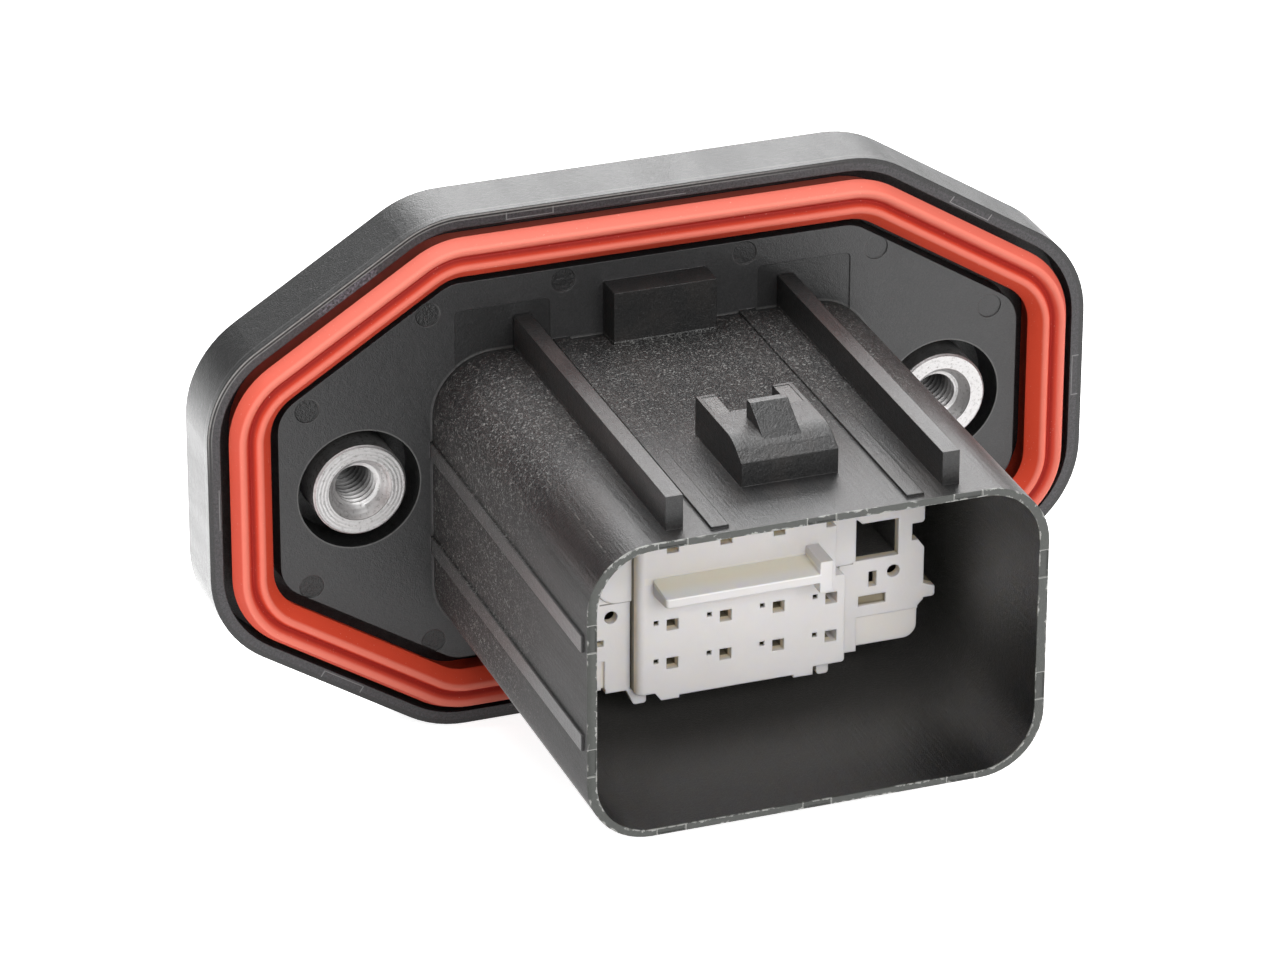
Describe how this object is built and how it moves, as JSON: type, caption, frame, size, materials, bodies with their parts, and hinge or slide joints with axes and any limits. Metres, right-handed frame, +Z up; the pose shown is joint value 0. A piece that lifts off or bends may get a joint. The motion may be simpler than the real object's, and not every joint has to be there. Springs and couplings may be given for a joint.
{
  "type": "sealed panel connector",
  "caption": "Sealed rectangular connector header with a long flange, two-ribbed ring seal, threaded bushings and an ivory contact carrier deep in a ribbed shroud.",
  "frame": {"origin": "in the plane of the flange's front rim, where it touches the panel, midway between the two threaded bushings", "axes": "+X along the flange, +Y away from the plug towards the wires, +Z up, towards the latch block"},
  "size_m": [0.0966, 0.0629, 0.058],
  "materials": {
    "black_moulding": "glass-filled polyamide, satin with fine speckle and flow marks",
    "red_silicone": "smooth orange-red silicone",
    "turned_steel": "turned, bright",
    "ivory_moulding": "satin, slightly translucent",
    "ivory_plate": "satin, slightly translucent",
    "mat_silicone": "soft silicone",
    "black_cover": "satin"
  },
  "bodies": {
    "root": {"housing": "black_moulding", "flange_seal": "red_silicone", "bushing_left": "turned_steel", "bushing_right": "turned_steel", "contact_carrier": "ivory_moulding", "front_retainer": "ivory_plate", "wire_seal": "mat_silicone", "seal_cover": "black_cover"}
  },
  "joints": []
}
